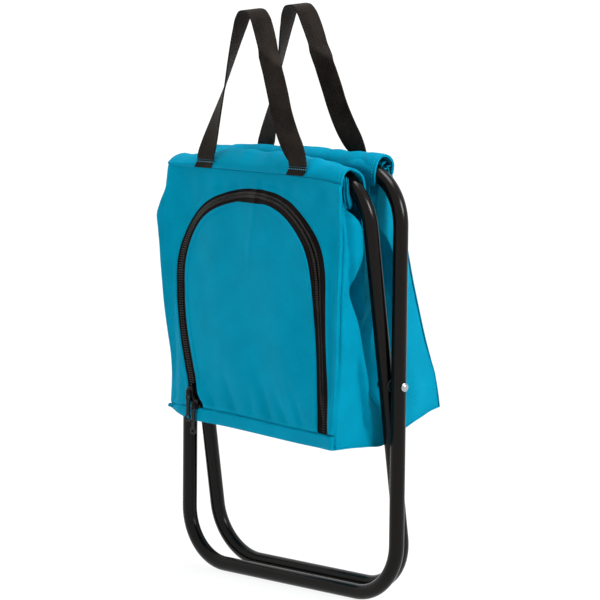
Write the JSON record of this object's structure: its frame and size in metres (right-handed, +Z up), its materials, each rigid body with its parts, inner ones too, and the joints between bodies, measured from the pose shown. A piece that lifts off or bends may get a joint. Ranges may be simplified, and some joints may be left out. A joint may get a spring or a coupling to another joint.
{
  "type": "folding stool with bag",
  "caption": "Folding stool of two crossed tube loops with a soft insulated bag slung under its seat; arched zipped door, two webbing handles.",
  "frame": {"origin": "on the floor, under the middle of the two pivots, with the stool folded", "axes": "+X along the top bars to the right of someone facing the zipped door, -Y towards the side with the door, +Z up"},
  "size_m": [0.3406, 0.155, 0.6233],
  "materials": {
    "black_coat": "glossy black powder coat on steel tube",
    "zinc_steel": "bright zinc plated",
    "black_nylon": "plain moulded",
    "teal_fabric": "plain woven coated polyester",
    "foil_foam": "closed-cell foam faced with silver foil",
    "black_webbing": "woven strap",
    "zip_tape": "woven tape",
    "zip_coil": "nylon coil",
    "zip_metal": "dark gunmetal"
  },
  "bodies": {
    "pivot_pins": {"rivet_left": "zinc_steel", "rivet_right": "zinc_steel", "spacer_left": "black_nylon", "spacer_right": "black_nylon"},
    "outer_frame": {"outer_frame_tube": "black_coat"},
    "inner_frame": {"inner_frame_tube": "black_coat"},
    "bag_base": {"base_panel": "teal_fabric", "base_insulation": "foil_foam", "gusset_left_front": "teal_fabric", "gusset_left_rear": "teal_fabric", "gusset_right_front": "teal_fabric", "gusset_right_rear": "teal_fabric"},
    "front_wall": {"bottom_band": "teal_fabric", "front_panel": "teal_fabric", "front_insulation": "foil_foam", "front_sleeve": "teal_fabric", "zip_tape_frame": "zip_tape", "zip_coil_frame": "zip_coil", "front_handle_foot_left": "black_webbing", "front_handle_foot_right": "black_webbing"},
    "rear_wall": {"rear_panel": "teal_fabric", "rear_insulation": "foil_foam", "rear_sleeve": "teal_fabric", "rear_handle_foot_left": "black_webbing", "rear_handle_foot_right": "black_webbing"},
    "seat_front_half": {"seat_front": "teal_fabric"},
    "seat_rear_half": {"seat_rear": "teal_fabric"},
    "door": {"door_flap": "teal_fabric", "door_insulation": "foil_foam", "zip_tape_door": "zip_tape", "zip_coil_door": "zip_coil"},
    "slider_upper": {"zip_slider_upper": "zip_metal"},
    "slider_lower": {"zip_slider_lower": "zip_metal"},
    "pull_upper": {"zip_pull_upper": "zip_metal"},
    "pull_lower": {"zip_pull_lower": "zip_metal"},
    "front_handle_loop": {"front_handle": "black_webbing"},
    "rear_handle_loop": {"rear_handle": "black_webbing"}
  },
  "joints": [
    {"name": "outer_fold", "type": "hinge", "parent": "pivot_pins", "child": "outer_frame", "pos_m": [0, 0, 0.23234], "axis": [-1, 0, 0], "range_deg": [0, 35.6], "deforming": ["gusset_left_front", "gusset_left_rear", "gusset_right_front", "gusset_right_rear", "seat_front", "seat_rear"]},
    {"name": "inner_fold", "type": "hinge", "parent": "pivot_pins", "child": "inner_frame", "pos_m": [0, 0, 0.23234], "axis": [1, 0, 0], "range_deg": [0, 35.6]},
    {"name": "bag_drop", "type": "slide", "parent": "pivot_pins", "child": "bag_base", "axis": [0, -0.1988, -0.98], "range_m": [0, 0.04955]},
    {"name": "front_wall_swing", "type": "hinge", "parent": "bag_base", "child": "front_wall", "pos_m": [0, -0.068, 0.18034], "axis": [1, 0, 0], "range_deg": [0, 24.16]},
    {"name": "rear_wall_swing", "type": "hinge", "parent": "bag_base", "child": "rear_wall", "pos_m": [0, 0.079, 0.18034], "axis": [-1, 0, 0], "range_deg": [0, 28.06]},
    {"name": "seat_front_unfold", "type": "hinge", "parent": "front_wall", "child": "seat_front_half", "pos_m": [0, -0.01726, 0.45667], "axis": [1, 0, 0], "range_deg": [0, 63.04]},
    {"name": "seat_rear_unfold", "type": "hinge", "parent": "rear_wall", "child": "seat_rear_half", "pos_m": [0, 0.01726, 0.45667], "axis": [-1, 0, 0], "range_deg": [0, 59.14]},
    {"name": "door_hinge", "type": "hinge", "parent": "front_wall", "child": "door", "pos_m": [0, -0.06775, 0.19538], "axis": [1, 0, 0], "range_deg": [0, 110]},
    {"name": "upper_slider_run", "type": "slide", "parent": "front_wall", "child": "slider_upper", "axis": [-0.1173, 0.0953, 0.9885], "range_m": [0, 0.1]},
    {"name": "lower_slider_run", "type": "slide", "parent": "front_wall", "child": "slider_lower", "axis": [-0.7071, 0.0678, 0.7038], "range_m": [0, 0.006]},
    {"name": "upper_pull_swing", "type": "hinge", "parent": "slider_upper", "child": "pull_upper", "pos_m": [-0.08889, -0.0699, 0.21166], "axis": [-1, 0, 0], "range_deg": [0, 140]},
    {"name": "lower_pull_swing", "type": "hinge", "parent": "slider_lower", "child": "pull_lower", "pos_m": [-0.08017, -0.07116, 0.19859], "axis": [-1, 0, 0], "range_deg": [0, 140]},
    {"name": "front_handle_flop", "type": "hinge", "parent": "front_wall", "child": "front_handle_loop", "pos_m": [0, -0.04556, 0.46222], "axis": [1, 0, 0], "range_deg": [-10, 160]},
    {"name": "rear_handle_flop", "type": "hinge", "parent": "rear_wall", "child": "rear_handle_loop", "pos_m": [0, 0.04556, 0.46222], "axis": [-1, 0, 0], "range_deg": [-10, 160]}
  ],
  "couplings": [
    {"joint": "inner_fold", "follows": "outer_fold", "ratio": 1},
    {"joint": "bag_drop", "follows": "outer_fold", "m_per_rad": 0.079721},
    {"joint": "front_wall_swing", "follows": "outer_fold", "ratio": 0.6785},
    {"joint": "rear_wall_swing", "follows": "outer_fold", "ratio": 0.788},
    {"joint": "seat_front_unfold", "follows": "outer_fold", "ratio": 1.7707},
    {"joint": "seat_rear_unfold", "follows": "outer_fold", "ratio": 1.6611},
    {"joint": "lower_slider_run", "follows": "upper_slider_run", "ratio": 0.06}
  ]
}
